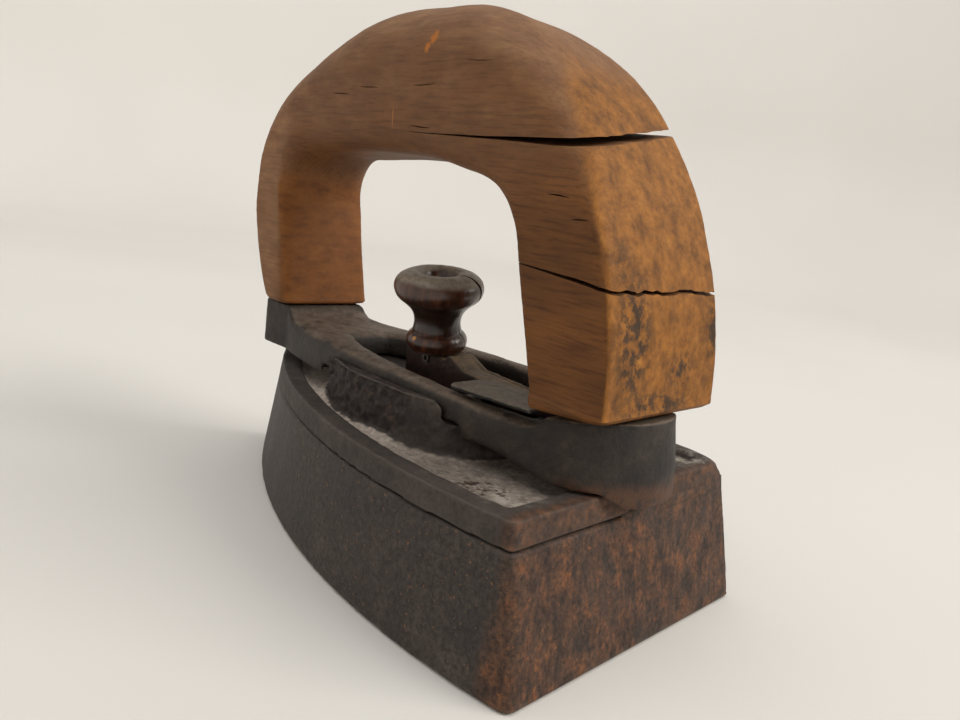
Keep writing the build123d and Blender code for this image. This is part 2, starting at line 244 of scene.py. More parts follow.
class Paint:
    """One node material, built up from small steps. Positions are the row frame's, in metres."""

    def __init__(self, name):
        self.material = bpy.data.materials.new(name)
        self.material.use_nodes = True
        self.tree = self.material.node_tree
        self.shader = self.tree.nodes["Principled BSDF"]
        coordinates = self.node("ShaderNodeTexCoord")
        self.position = coordinates.outputs["Object"]
        self.facing = self.split(coordinates.outputs["Normal"])
        self.along = self.split(self.position)

    def node(self, kind, inputs=None, **settings):
        made = self.tree.nodes.new(kind)
        for key, value in settings.items():
            setattr(made, key, value)
        for key, value in (inputs or {}).items():
            if isinstance(value, bpy.types.NodeSocket):
                self.tree.links.new(value, made.inputs[key])
            else:
                made.inputs[key].default_value = value
        return made

    def split(self, vector):
        return self.node("ShaderNodeSeparateXYZ", {0: vector}).outputs

    def noise(self, size, detail=3.0, rough=0.55, stretch=(1, 1, 1), shift=(0, 0, 0)):
        """Cloudy noise from 0 to 1 with features of about that size, longer along a stretched axis."""
        scale = tuple(1 / (size * factor) for factor in stretch)
        place = self.node("ShaderNodeMapping", {0: self.position, "Scale": scale, "Location": shift})
        inputs = {"Vector": place.outputs[0], "Scale": 1.0, "Detail": detail, "Roughness": rough}
        return self.node("ShaderNodeTexNoise", inputs).outputs["Fac"]

    def cells(self, size, shift=(0, 0, 0)):
        """Distance from the nearest of a scatter of points, 0 at the point."""
        scale = (1 / size,) * 3
        place = self.node("ShaderNodeMapping", {0: self.position, "Scale": scale, "Location": shift})
        inputs = {"Vector": place.outputs[0], "Scale": 1.0}
        return self.node("ShaderNodeTexVoronoi", inputs).outputs["Distance"]

    def band(self, value, low, high):
        """0 at low and 1 at high, smooth between; low may be the larger."""
        inputs = {"Value": value, "From Min": low, "From Max": high}
        return self.node("ShaderNodeMapRange", inputs, interpolation_type="SMOOTHSTEP").outputs[0]

    def sum(self, first, second, operation="ADD"):
        return self.node("ShaderNodeMath", {0: first, 1: second}, operation=operation).outputs[0]

    def both(self, *masks):
        """The product of several masks."""
        total = masks[0]
        for mask in masks[1:]:
            total = self.sum(total, mask, "MULTIPLY")
        return total

    def either(self, *masks):
        total = masks[0]
        for mask in masks[1:]:
            total = self.sum(total, mask, "MAXIMUM")
        return total

    def spot(self, centre, size, soft=0.5):
        """A soft patch round a point, with its own half-size along each axis."""
        scale = tuple(1 / (half * MM) for half in size)
        shift = tuple(-c / half for c, half in zip(centre, size))
        place = self.node("ShaderNodeMapping", {0: self.position, "Scale": scale, "Location": shift})
        length = self.node("ShaderNodeVectorMath", {0: place.outputs[0]}, operation="LENGTH")
        return self.band(length.outputs["Value"], 1.0, 1.0 - soft)

    def ramp(self, value, *stops):
        """Colours along a value; each stop is its place and a display colour."""
        made = self.node("ShaderNodeValToRGB", {0: value})
        points = made.color_ramp.elements
        while len(points) < len(stops):
            points.new(0.5)
        for point, (place, colour) in zip(points, stops):
            point.position = place
            point.color = tint(*colour)
        return made.outputs[0]

    def mix(self, mask, first, second, mode="MIX"):
        inputs = {"Factor": mask, 6: first, 7: second}
        return self.node("ShaderNodeMix", inputs, data_type="RGBA", blend_type=mode).outputs[2]

    def pointiness(self):
        return self.node("ShaderNodeNewGeometry").outputs["Pointiness"]

    def worn(self, colour, low, high, share, tone):
        """That colour, toned on the edges (low is the smaller) or in the hollows (the larger)."""
        where = self.band(self.pointiness(), low, high)
        return self.mix(self.both(where, share), colour, tint(*tone))

    def bump(self, height, distance, strength=1.0, after=None):
        inputs = {"Height": height, "Distance": distance, "Strength": strength}
        if after is not None:
            inputs["Normal"] = after
        return self.node("ShaderNodeBump", inputs).outputs[0]

    def finish(self, colour, normal=None, **values):
        """Connect the colour and bump; other values are sockets or plain numbers."""
        self.tree.links.new(colour, self.shader.inputs["Base Color"])
        if normal is not None:
            self.tree.links.new(normal, self.shader.inputs["Normal"])
        for key, value in values.items():
            socket = self.shader.inputs[key.replace("_", " ").title().replace("Ior", "IOR")]
            if isinstance(value, bpy.types.NodeSocket):
                self.tree.links.new(value, socket)
            else:
                socket.default_value = value
        return self.material


def speckle(paint, colour, strength=0.5):
    """Fine light and dark grains, as on old cast iron."""
    grains = paint.ramp(paint.noise(1.1 * MM, 5, 0.75), (0.36, (118, 114, 110)), (0.62, (255, 255, 255)))
    return paint.mix(strength, colour, grains, "MULTIPLY")


def iron_grain(paint, depth=1.0):
    """Bump of a sand-cast and rusted skin."""
    coarse = paint.bump(paint.noise(2.5 * MM, 5, 0.65), 0.35 * MM * depth)
    return paint.bump(paint.noise(0.45 * MM, 3, 0.7), 0.10 * MM * depth, after=coarse)


def sole_iron():
    paint = Paint("sole_iron")
    x, y, z = paint.along
    patches = paint.noise(14 * MM, 5, 0.6)
    skin = paint.ramp(patches, (0.35, (51, 44, 40)), (0.52, (67, 58, 53)), (0.7, (86, 77, 71)))
    skin = speckle(paint, skin, 0.85)
    flecks = paint.band(paint.noise(0.9 * MM, 2, 0.6, shift=(4, 1, 7)), 0.64, 0.72)
    skin = paint.mix(paint.both(flecks, 0.45), skin, tint(150, 104, 60))
    # The back is rusty all over, in upright streaks, and the rust fades round the corner.
    back = paint.band(x, -0.066, -0.0705)
    streaks = paint.noise(3.2 * MM, 6, 0.62, stretch=(1, 1, 1.7), shift=(3, 8, 2))
    rust = paint.ramp(
        streaks,
        (0.34, (42, 26, 19)),
        (0.46, (84, 55, 38)),
        (0.56, (114, 74, 47)),
        (0.68, (150, 90, 44)),
    )
    clouds = paint.noise(11 * MM, 4, 0.6, shift=(5, 5, 1))
    grey = paint.ramp(clouds, (0.38, (68, 54, 45)), (0.6, (96, 70, 52)))
    rust = paint.mix(paint.both(paint.band(clouds, 0.62, 0.4), 0.45), rust, grey)
    rust = speckle(paint, rust, 0.95)
    embers = paint.band(paint.noise(1.6 * MM, 4, 0.7, shift=(6, 1, 6)), 0.63, 0.72)
    rust = paint.mix(paint.both(embers, 0.55), rust, tint(168, 98, 46))
    colour = paint.mix(back, skin, rust)
    # Worn lower edge.
    worn = paint.both(paint.band(z, 2.2 * MM, 0.4 * MM), paint.band(paint.noise(4 * MM, 3), 0.45, 0.6))
    colour = paint.mix(paint.both(worn, 0.35), colour, tint(104, 94, 84))
    colour = paint.worn(colour, 0.52, 0.6, 0.35, (128, 116, 104))
    # Black joint under the cap.
    joint = paint.both(paint.band(z, 28.4 * MM, 28.7 * MM), paint.band(paint.noise(5 * MM, 2), 0.36, 0.5))
    fused = paint.both(back, paint.band(y, 0.006, 0.003))
    joint = paint.both(joint, paint.sum(1.0, fused, "SUBTRACT"))
    colour = paint.mix(joint, colour, tint(20, 16, 14))
    rough = paint.band(patches, 0.2, 0.9)
    rough = paint.sum(paint.both(rough, 0.25), 0.52)
    return paint.finish(colour, iron_grain(paint), roughness=rough, metallic=0.15)


def cap_iron():
    paint = Paint("cap_iron")
    x, y, z = paint.along
    patches = paint.noise(9 * MM, 5, 0.62)
    skin = paint.ramp(patches, (0.35, (58, 50, 46)), (0.55, (74, 65, 60)), (0.72, (96, 86, 78)))
    skin = speckle(paint, skin, 0.5)
    # Dusty tray floor, with pale patches and dark rust near the rear corners.
    flat = paint.band(paint.facing[2], 0.75, 0.95)
    tray = paint.both(paint.band(z, 33.3 * MM, 32.9 * MM), flat)
    dust = paint.ramp(
        paint.noise(4 * MM, 6, 0.7),
        (0.3, (118, 108, 100)),
        (0.5, (150, 138, 128)),
        (0.7, (178, 166, 154)),
    )
    # Painted light: the dust turns near-white toward the front, brightening the part of the tray that the
    # bridge arms shade.
    dust_and_painted_light = paint.mix(paint.band(x, -0.045, 0.02), dust, tint(238, 222, 208))
    colour = paint.mix(tray, skin, speckle(paint, dust_and_painted_light, 0.6))
    left_pale = paint.spot((-54, 29, 32), (16, 10, 6), 0.9)
    right_pale = paint.spot((-62, -30, 33), (12, 12, 6), 0.9)
    blots = paint.band(paint.noise(3.5 * MM, 5, 0.7, shift=(2, 6, 4)), 0.44, 0.58)
    pale = paint.both(paint.either(left_pale, right_pale), blots, flat, 0.8)
    colour = paint.mix(pale, colour, tint(176, 168, 156))
    scabs = paint.band(paint.noise(2.6 * MM, 5, 0.7, shift=(9, 3, 5)), 0.52, 0.6)
    scabs = paint.both(scabs, paint.either(paint.spot((-50, 28, 32), (14, 9, 6), 0.8), right_pale))
    colour = paint.mix(scabs, colour, tint(58, 38, 30))
    # The boss is very dark, red-brown in its pits.
    boss = paint.both(paint.spot((-4, 0, 39), (44, 31, 14), 0.06), paint.band(z, 32.9 * MM, 34.0 * MM))
    crust = paint.ramp(
        paint.noise(1.8 * MM, 5, 0.7, shift=(1, 1, 8)),
        (0.34, (20, 14, 13)),
        (0.5, (41, 32, 29)),
        (0.64, (60, 47, 40)),
        (0.75, (99, 65, 41)),
    )
    colour = paint.mix(boss, colour, crust)
    rust_spot = paint.both(paint.spot((22, 22, 41), (7, 5, 4), 0.8), paint.noise(3 * MM, 3))
    colour = paint.mix(rust_spot, colour, tint(150, 92, 50))
    # Rust on the back strip and along the rear rim.
    back = paint.both(paint.band(x, -0.0645, -0.0672), paint.band(paint.noise(3 * MM, 5, 0.65), 0.25, 0.5))
    rust = paint.ramp(
        paint.noise(2.4 * MM, 6, 0.65, shift=(7, 2, 1)),
        (0.36, (58, 42, 34)),
        (0.52, (88, 62, 46)),
        (0.68, (118, 78, 50)),
    )
    colour = paint.mix(back, colour, speckle(paint, rust, 0.4))
    # Edge wear: bluish grey toward the nose.
    edges = paint.band(paint.pointiness(), 0.515, 0.58)
    wear = paint.mix(paint.band(x, 0.0, 0.03), tint(112, 100, 90), tint(122, 124, 124))
    colour = paint.mix(paint.both(edges, 0.55), colour, wear)
    colour = paint.worn(colour, 0.47, 0.42, 0.6, (24, 18, 16))
    fused = paint.both(paint.band(x, -0.0645, -0.0672), paint.band(y, 0.006, 0.003))
    joint = paint.both(paint.band(z, 29.2 * MM, 28.9 * MM), paint.sum(1.0, fused, "SUBTRACT"))
    colour = paint.mix(joint, colour, tint(20, 16, 14))
    return paint.finish(colour, iron_grain(paint, 1.2), roughness=0.72, metallic=0.1)


def bridge_iron():
    paint = Paint("bridge_iron")
    x, _, z = paint.along
    patches = paint.noise(7 * MM, 5, 0.62)
    skin = paint.ramp(patches, (0.34, (30, 23, 18)), (0.52, (45, 36, 29)), (0.7, (66, 54, 45)))
    skin = speckle(paint, skin, 0.55)
    up = paint.band(paint.facing[2], 0.35, 0.9)
    dust = paint.ramp(
        paint.noise(3 * MM, 6, 0.7, shift=(3, 3, 3)),
        (0.3, (84, 70, 58)),
        (0.5, (110, 94, 80)),
        (0.7, (130, 116, 102)),
    )
    cover = paint.both(up, paint.band(paint.noise(6 * MM, 4, 0.6, shift=(8, 1, 2)), 0.25, 0.5))
    # Painted shade: from the front block forward the dust is left off, so the block's top stays dark where
    # the wooden leg shades it.
    cover = paint.both(cover, paint.band(x, 0.053, 0.046))
    colour = paint.mix(cover, skin, speckle(paint, dust, 0.4))
    rust = paint.both(
        paint.band(z, 38.5 * MM, 34.6 * MM),
        paint.band(x, -0.058, -0.066),
        paint.band(paint.noise(3 * MM, 4, 0.6), 0.3, 0.5),
    )
    colour = paint.mix(paint.both(rust, 0.5), colour, tint(104, 64, 38))
    colour = paint.worn(colour, 0.52, 0.6, 0.3, (120, 108, 96))
    colour = paint.worn(colour, 0.48, 0.42, 0.5, (20, 15, 13))
    return paint.finish(colour, iron_grain(paint, 1.1), roughness=0.6, metallic=0.15)


def lever_iron():
    paint = Paint("lever_iron")
    dark = paint.ramp(paint.noise(4 * MM, 4), (0.35, (34, 20, 17)), (0.65, (58, 38, 32)))
    up = paint.band(paint.facing[2], 0.5, 0.9)
    dust = paint.ramp(
        paint.noise(3 * MM, 6, 0.7),
        (0.3, (78, 64, 50)),
        (0.52, (112, 94, 74)),
        (0.7, (138, 112, 78)),
    )
    colour = paint.mix(up, dark, speckle(paint, dust, 0.4))
    colour = paint.worn(colour, 0.52, 0.6, 0.3, (110, 92, 76))
    rough = paint.sum(paint.both(up, 0.35), 0.42)
    return paint.finish(colour, iron_grain(paint, 0.8), roughness=rough, metallic=0.1)


def leaf_steel():
    paint = Paint("leaf_steel")
    dust = paint.ramp(
        paint.noise(2.5 * MM, 6, 0.7),
        (0.3, (96, 86, 76)),
        (0.5, (116, 106, 94)),
        (0.7, (134, 122, 106)),
    )
    up = paint.band(paint.facing[2], 0.3, 0.8)
    colour = paint.mix(up, tint(30, 26, 25), speckle(paint, dust, 0.45))
    colour = paint.worn(colour, 0.54, 0.62, 0.4, (150, 138, 120))
    return paint.finish(colour, iron_grain(paint, 0.5), roughness=0.75, metallic=0.25)


def dark_steel():
    paint = Paint("dark_steel")
    colour = paint.ramp(paint.noise(1.5 * MM, 4), (0.35, (46, 38, 34)), (0.65, (96, 84, 74)))
    return paint.finish(colour, iron_grain(paint, 0.4), roughness=0.5, metallic=0.6)


def bright_ring():
    """Rubbed end of the hollow pin."""
    paint = Paint("pin_ring")
    colour = paint.ramp(paint.noise(0.8 * MM, 3), (0.35, (110, 104, 98)), (0.65, (160, 152, 142)))
    return paint.finish(colour, None, roughness=0.4, metallic=0.7)


def plaster():
    paint = Paint("plaster")
    colour = paint.ramp(paint.noise(3 * MM, 4), (0.3, (176, 166, 150)), (0.7, (206, 198, 184)))
    return paint.finish(colour, paint.bump(paint.noise(1 * MM), 0.2 * MM), roughness=0.95)


def grip_wood():
    paint = Paint("grip_wood")
    x, _, z = paint.along
    # Fibres run along X.
    fibres = paint.noise(0.8 * MM, 5, 0.65, stretch=(14, 1, 1))
    figure = paint.noise(9 * MM, 4, 0.55, stretch=(3, 1, 1), shift=(2, 7, 3))
    colour = paint.ramp(figure, (0.34, (90, 54, 19)), (0.5, (104, 63, 24)), (0.66, (118, 73, 29)))
    lines = paint.ramp(fibres, (0.36, (176, 168, 160)), (0.5, (238, 236, 234)), (0.66, (255, 255, 255)))
    colour = paint.mix(0.75, colour, lines, "MULTIPLY")
    pores = paint.band(paint.noise(0.35 * MM, 2, 0.5, stretch=(9, 1, 1), shift=(5, 5, 5)), 0.6, 0.72)
    colour = paint.mix(paint.both(pores, 0.35), colour, tint(56, 33, 17))
    # Grey-brown patina of hands on the crown.
    high = paint.band(z, 0.082, 0.112)
    up = paint.band(paint.facing[2], 0.1, 0.85)
    patina = paint.ramp(
        paint.noise(5 * MM, 5, 0.6, stretch=(2, 1, 1)),
        (0.3, (128, 90, 62)),
        (0.55, (150, 110, 77)),
        (0.75, (167, 129, 90)),
    )
    patina = paint.mix(0.4, patina, lines, "MULTIPLY")
    worn_side = paint.mix(0.5, patina, tint(180, 164, 154), "MULTIPLY")
    front = paint.band(x, 0.050, 0.060)
    colour = paint.mix(paint.both(paint.either(high, up, front), 0.6), colour, worn_side)
    colour = paint.mix(paint.both(front, 0.5), colour, patina)
    colour = paint.mix(paint.both(up, high, 0.6), colour, patina)
    # End grain at the back of the rear leg: lighter, orange, mottled.
    back = paint.both(paint.band(paint.facing[0], -0.45, -0.8), paint.band(x, -0.03, -0.045))
    mottle = paint.noise(4.5 * MM, 6, 0.65, shift=(4, 9, 1))
    rear = paint.ramp(
        mottle,
        (0.32, (106, 66, 26)),
        (0.46, (138, 89, 34)),
        (0.58, (157, 101, 39)),
        (0.72, (173, 117, 49)),
    )
    scratches = paint.noise(0.6 * MM, 4, 0.7, stretch=(1, 3, 3), shift=(6, 2, 2))
    scratch_shade = paint.ramp(scratches, (0.35, (180, 170, 160)), (0.6, (255, 255, 255)))
    rear = paint.mix(0.5, rear, scratch_shade, "MULTIPLY")
    colour = paint.mix(back, colour, rear)
    # Black and grey stains low on the back, mostly near its left edge.
    stain_shape = paint.band(paint.noise(2.6 * MM, 5, 0.7, shift=(1, 4, 8)), 0.44, 0.56)
    left_edge = paint.spot((-68, 12, 66), (12, 9, 20), 0.7)
    bottom = paint.spot((-70, 2, 53), (12, 20, 5), 0.8)
    middle = paint.spot((-70, -6, 60), (12, 9, 6), 0.9)
    upper = paint.spot((-66, 15, 80), (12, 5, 9), 0.9)
    right_edge = paint.spot((-69, -19, 68), (12, 5, 13), 0.9)
    places = paint.either(left_edge, bottom, middle, paint.both(upper, 0.7), right_edge)
    stains = paint.both(stain_shape, places)
    colour = paint.mix(paint.both(stains, 0.85), colour, tint(44, 35, 26))
    # Painted light: brighter wood on the inner face of the front leg, which faces the rear lamp.
    inner = paint.both(
        paint.band(paint.facing[0], -0.3, -0.8),
        paint.band(x, 0.03, 0.042),
        paint.band(z, 0.094, 0.085),
    )
    painted_light_wood = paint.ramp(
        paint.noise(6 * MM, 5, 0.6, stretch=(1, 1, 0.4)),
        (0.3, (98, 56, 21)),
        (0.5, (127, 75, 29)),
        (0.7, (141, 88, 36)),
    )
    colour = paint.mix(paint.both(inner, 0.8), colour, painted_light_wood)
    # A fresh chip and a thin scratch on the left of the crown.
    upper_chip = paint.spot((-6.4, 16, 123.4), (1.7, 4, 2.2), 0.4)
    lower_chip = paint.spot((-5.2, 16, 121.2), (1.5, 4, 2.0), 0.4)
    chip = paint.either(upper_chip, lower_chip)
    chip = paint.both(chip, paint.band(paint.noise(1.2 * MM, 3), 0.3, 0.45))
    colour = paint.mix(chip, colour, tint(175, 104, 38))
    scratch = paint.spot((5, 19, 105.5), (0.35, 5, 3.4), 0.5)
    colour = paint.mix(paint.both(scratch, 0.8), colour, tint(159, 101, 46))
    # Dirt in the cracks and hollows.
    colour = paint.worn(colour, 0.47, 0.4, 0.85, (29, 15, 8))
    relief = paint.bump(fibres, 0.10 * MM)
    relief = paint.bump(paint.noise(3 * MM, 4, 0.6, stretch=(2, 1, 1)), 0.25 * MM, after=relief)
    return paint.finish(colour, relief, roughness=0.62, specular_ior_level=0.28)


def knob_wood():
    paint = Paint("knob_wood")
    z = paint.along[2]
    grain = paint.noise(1.0 * MM, 4, 0.6, stretch=(1, 1, 6))
    dark = paint.ramp(grain, (0.36, (38, 18, 12)), (0.5, (64, 34, 22)), (0.66, (92, 54, 34)))
    up = paint.both(paint.band(paint.facing[2], 0.3, 0.75), paint.band(z, 0.0645, 0.0665))
    dust = paint.ramp(paint.noise(2 * MM, 5, 0.7), (0.3, (100, 90, 78)), (0.6, (142, 130, 114)))
    colour = paint.mix(paint.both(up, 0.92), dark, dust)
    # The neck under the head is nearly black; the band round the head is brown.
    neck = paint.both(paint.band(z, 0.0635, 0.0605), paint.band(z, 0.0525, 0.055))
    colour = paint.mix(paint.both(neck, 0.8), colour, tint(26, 17, 14))
    head_band = paint.both(
        paint.band(z, 0.0625, 0.0645),
        paint.band(z, 0.0685, 0.0665),
        paint.sum(1.0, up, "SUBTRACT"),
    )
    colour = paint.mix(paint.both(head_band, 0.6), colour, tint(70, 42, 28))
    colour = paint.worn(colour, 0.53, 0.62, 0.4, (120, 86, 62))
    chip = paint.spot((-1.2, 8.6, 52.0), (0.9, 1.2, 0.8), 0.4)
    colour = paint.mix(chip, colour, tint(188, 128, 58))
    rough = paint.sum(paint.both(up, 0.45), 0.3)
    relief = paint.bump(grain, 0.08 * MM)
    return paint.finish(colour, relief, roughness=rough, coat_weight=0.25, coat_roughness=0.25)


# ---------------------------------------------------------------- the iron's castings
def sole_casting(material):
    piece = casting("sole_block", "sole_casting", 0.85 * MM)
    z = points_of(piece)[:, 2]
    joint = ease(z, 27.0 * MM, 28.2 * MM)
    relax(piece, 3, 1 - 0.85 * joint)
    points = points_of(piece)
    outside = ease(points[:, 2], 0.2 * MM, 1.2 * MM)
    back = ease(points[:, 0], -0.067, -0.071)
    waves = (noise(points, 22 * MM, 1, 2) + 1) * 0.10 * MM
    grain = (noise(points, 3 * MM, 2, 2) + 1) * 0.05 * MM
    scale = (noise(points, 4 * MM, 3, 3) + 1) * 0.14 * MM * back
    sink(piece, outside * (waves + grain + scale))
    shade(piece)
    dress(piece, "iron", "base_iron", material, "sole_block")


# Half-width of the boss at stations along X, in millimetres.
BOSS_STATIONS = [-40, -38, -34, -28, -20, -12, 0, 15, 24, 30, 36]
BOSS_HALF_WIDTHS = [7.7, 16.4, 22, 26, 27.7, 27.7, 26.8, 22.8, 17.2, 11, 0]


def cap_casting(material):
    piece = casting("top_cap", "cap_casting", 0.6 * MM)
    z = points_of(piece)[:, 2]
    joint = ease(z, 30.6 * MM, 29.4 * MM)
    relax(piece, 2, 1 - 0.85 * joint)
    points = points_of(piece)
    worn_corner = Vector((-0.0685, -0.039, 0.0344))
    distance = np.linalg.norm(points - np.array(worn_corner), axis=1)
    relax(piece, 60, ease(distance, 8 * MM, 1 * MM))
    x, y, z = points_of(piece).T
    silted = ease(y, -28 * MM, -31 * MM) * ease(x, -50 * MM, -55 * MM) * ease(z, 31.0 * MM, 32.0 * MM)
    relax(piece, 25, silted)
    points = points_of(piece)
    x, y, z = points.T
    in_boss = np.abs(y) / (np.interp(x / MM, BOSS_STATIONS, BOSS_HALF_WIDTHS) * MM + 0.5 * MM)
    boss = ease(in_boss, 1.03, 1.0) * ease(z, 32.8 * MM, 33.4 * MM)
    outer = boss * ease(in_boss, 0.84, 0.9) * ease(z, 45.0 * MM, 43.6 * MM)
    tray = ease(z, 33.4 * MM, 32.8 * MM) * ease(in_boss, 0.98, 1.05) * ease(z, 31.5 * MM, 32.2 * MM)
    thin_end = 1 - 0.6 * ease(x, -18 * MM, -26 * MM)
    holes = (1 - pits(points, 2.3 * MM, 5)) * 1.4 * MM * thin_end
    crust = (noise(points, 1.8 * MM, 6, 3) + 1) * 0.35 * MM * thin_end
    sand = (noise(points, 1.5 * MM, 7, 2) + 1) * 0.12 * MM
    waves = (noise(points, 9 * MM, 8, 2) + 1) * 0.10 * MM
    sink(piece, outer * (holes + crust) + (1 - outer) * (waves + sand * (0.4 + tray)))
    shade(piece)
    dress(piece, "iron", "base_iron", material, "top_cap")


# The joint between base and cap, and the sloping back face that it runs across.
JOINT_HEIGHT = 28.8 * MM
REAR_FOOT_X = -76 * MM
REAR_LEAN = 7.7 / 34.4


def joint_crust(material):
    """Rust that has grown over the right half of the joint at the back."""
    def back_face(z):
        return REAR_FOOT_X + REAR_LEAN * z

    def outer(y, z):
        places = np.stack([y, z, np.zeros_like(y)], axis=1)
        swell = (noise(places, (3 * MM, 2 * MM, 1), 71, 2) + 1) * 0.10 * MM
        near_joint = ease(np.abs(z - JOINT_HEIGHT), 1.5 * MM, 0.7 * MM)
        edge = near_joint * ease(y, 5 * MM, 1 * MM) * ease(y, -38 * MM, -35 * MM)
        return back_face(z) + 0.35 * MM - (swell + 0.35 * MM) * edge

    def inner(y, z):
        return back_face(z) + 1.2 * MM

    crust = slab((-38 * MM, 5 * MM), (27.2 * MM, 30.4 * MM), inner, outer, 0.4 * MM)
    crust.name = "joint_crust"
    place_points(crust, points_of(crust)[:, [2, 0, 1]])
    crust.data.flip_normals()
    shade(crust)
    dress(crust, "iron", "base_iron", material)


CUP_CENTRE_X = -53.6 * MM


def bridge_casting(material):
    piece = casting("handle_bridge", "bridge_casting", 0.55 * MM)
    points = points_of(piece)
    x, y, z = points.T
    arms = ease(x, -53 * MM, -48 * MM) * ease(x, 49 * MM, 44 * MM)
    tops = arms * ease(z, 39.5 * MM, 43 * MM)
    cup_foot = ease(x, -30 * MM, -45 * MM) * ease(z, 42 * MM, 36 * MM)
    relax(piece, 80, tops)
    relax(piece, 10, cup_foot)
    relax(piece, 4)
    # The cup widens toward its foot, and its back edge hangs a little over the rim.
    points = points_of(piece)
    x, y, z = points.T
    spread = np.interp(z, [34.4 * MM, 48.5 * MM], [1.045, 0.925]) - 1
    spread = 1 + spread * ease(x, -44 * MM, -56 * MM)
    widened = CUP_CENTRE_X + (x - CUP_CENTRE_X) * spread
    points[:, 0] = np.where(x < CUP_CENTRE_X, widened, x)
    points[:, 1] = y * spread
    behind_rim = ease(points[:, 0], -67.8 * MM, -73.0 * MM)
    points[:, 2] = z - 2.9 * MM * behind_rim * ease(z, 39.5 * MM, 35.0 * MM)
    place_points(piece, points)
    points = points_of(piece)
    waves = (noise(points, 8 * MM, 11, 2) + 1) * 0.15 * MM
    sand = (noise(points, 1.7 * MM, 12, 2) + 1) * 0.07 * MM
    sink(piece, waves + sand)
    shade(piece)
    dress(piece, "handle", "bridge_iron", material, "handle_bridge")


def lever_casting(material):
    piece = casting("latch_lever", "lever_casting", 0.4 * MM)
    relax(piece, 6)
    points = points_of(piece)
    x, y, z = points.T
    top = ease(z, 43.5 * MM, 45 * MM) * ease(x, -12 * MM, -17 * MM)
    groove = top * ease(np.abs(y + 3.3 * MM), 0.7 * MM, 0.2 * MM) * 0.5 * MM
    waves = (noise(points, 5 * MM, 21, 2) + 1) * 0.12 * MM
    sink(piece, waves + groove)
    shade(piece)
    dress(piece, "latch", "lever_iron", material, "latch_lever")


def leaf_piece(material):
    piece = casting("spring_leaf", "leaf_plate", 0.33 * MM)
    relax(piece, 3)
    points = points_of(piece)
    sink(piece, (noise(points, 4 * MM, 31, 2) + 1) * 0.05 * MM)
    shade(piece)
    dress(piece, "handle", "spring_steel", material, "spring_leaf")


# ---------------------------------------------------------------- the knob
KNOB_BASE = Vector((-1.2 * MM, 0, 48.8 * MM))
KNOB_LEFT_LEAN = math.radians(8.5)
KNOB_REAR_LEAN = math.radians(3.5)
KNOB_PROFILE = [
    (2.0, 0.0), (6.2, 0.0), (7.2, 0.3), (8.0, 1.2), (8.35, 2.5), (8.2, 3.7), (7.6, 4.7), (6.95, 5.2),
    (6.6, 5.5), (6.65, 5.9), (6.5, 6.5), (6.35, 7.6), (6.45, 8.8), (6.8, 10.0), (7.6, 11.3), (8.9, 12.6),
    (10.3, 13.7), (11.4, 15.0), (11.95, 16.5), (11.95, 17.8),
    (11.5, 19.0), (10.6, 20.0), (9.3, 20.8), (7.6, 21.3),
    (6.0, 21.4), (5.0, 21.0), (4.2, 20.2), (3.6, 18.8), (3.25, 17.0), (3.15, 14.6), (2.0, 13.4),
]


def smooth_line(points, count):
    """A curve through all the points, as evenly spaced points (Catmull-Rom)."""
    points = np.array(points, float)
    padded = np.vstack([2 * points[0] - points[1], points, 2 * points[-1] - points[-2]])
    curve = []
    for k in range(len(points) - 1):
        p0, p1, p2, p3 = padded[k : k + 4]
        t = np.linspace(0, 1, 24, endpoint=False)[:, None]
        curve.append(0.5 * (2 * p1 + (p2 - p0) * t + (2 * p0 - 5 * p1 + 4 * p2 - p3) * t**2
                            + (3 * p1 - p0 - 3 * p2 + p3) * t**3))
    curve = np.vstack([*curve, points[-1:]])
    return resample(curve, count)


def resample(line, count):
    """The same line with points at even distances."""
    steps = np.linalg.norm(np.diff(line, axis=0), axis=1)
    length = np.concatenate([[0], np.cumsum(steps)])
    places = np.linspace(0, length[-1], count)
    return np.stack([np.interp(places, length, line[:, k]) for k in range(line.shape[1])], axis=1)


